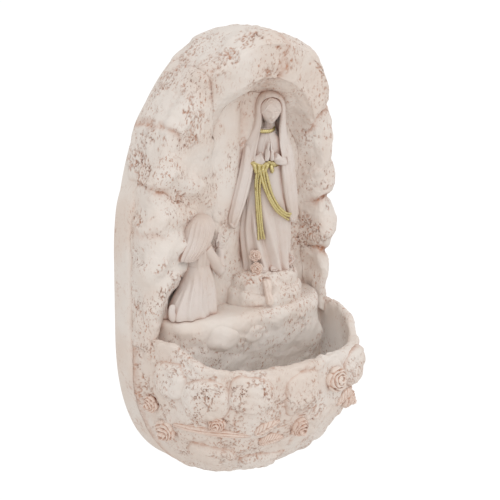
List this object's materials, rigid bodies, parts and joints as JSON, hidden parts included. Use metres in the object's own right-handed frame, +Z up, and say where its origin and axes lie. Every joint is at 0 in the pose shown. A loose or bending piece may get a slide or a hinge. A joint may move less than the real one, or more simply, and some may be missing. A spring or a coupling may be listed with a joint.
{
  "type": "holy water stoup",
  "caption": "Wall-hung holy water stoup: a rock grotto with a standing and a kneeling figure above a flower-trimmed basin, hung on a screw by a keyhole plate.",
  "frame": {"origin": "centre of the hanger plate's keyhole, on the wall plane", "axes": "+X right as seen by the user, +Y into the wall, +Z up"},
  "size_m": [0.1131, 0.0735, 0.2079],
  "materials": {
    "resin_rock": "matte cast resin, off-white with a brown antiquing wash in the pits",
    "resin_figure": "smooth matte cast resin, off-white with a light wash in the folds",
    "resin_flower": "matte cast resin, off-white with a brown wash between the petals",
    "gilt": "gold leaf paint, rubbed",
    "zinc_steel": "zinc plated"
  },
  "bodies": {
    "root": {"back_slab": "resin_rock", "right_lower_rock": "resin_rock", "right_middle_rock": "resin_rock", "right_upper_rock": "resin_rock", "cap_rock": "resin_rock", "left_upper_rock": "resin_rock", "left_wall_rock": "resin_rock", "basin": "resin_rock", "grotto_floor": "resin_rock", "mound": "resin_rock", "niche_panel": "resin_rock", "step_stone_left": "resin_rock", "step_stone_right": "resin_rock", "stone_left": "resin_rock", "stone_front_left": "resin_rock", "stone_front": "resin_rock", "stone_front_right": "resin_rock", "stone_right": "resin_rock", "stone_low_left": "resin_rock", "stone_low_front": "resin_rock", "robe": "resin_figure", "head": "resin_figure", "mantle": "resin_figure", "right_sleeve": "resin_figure", "left_sleeve": "resin_figure", "joined_hands": "resin_figure", "feet": "resin_figure", "kneeler_skirt": "resin_figure", "kneeler_bodice": "resin_figure", "kneeler_head": "resin_figure", "kneeler_veil": "resin_figure", "kneeler_right_arm": "resin_figure", "kneeler_left_arm": "resin_figure", "kneeler_hands": "resin_figure", "kneeler_shoes": "resin_figure", "foot_rose_upper": "resin_flower", "foot_rose_lower": "resin_flower", "foot_bud": "resin_flower", "rose_left": "resin_flower", "rose_left_small": "resin_flower", "rose_bud": "resin_flower", "rose_front": "resin_flower", "rose_right": "resin_flower", "rose_far_right": "resin_flower", "branch": "resin_flower", "leaf_front": "resin_flower", "leaf_shell": "resin_flower", "leaf_right": "resin_flower", "neck_band": "gilt", "sash": "gilt", "sash_long_tail": "gilt", "sash_side_tail": "gilt", "hanger_plate": "zinc_steel", "hanger_screws": "zinc_steel"}
  },
  "joints": []
}
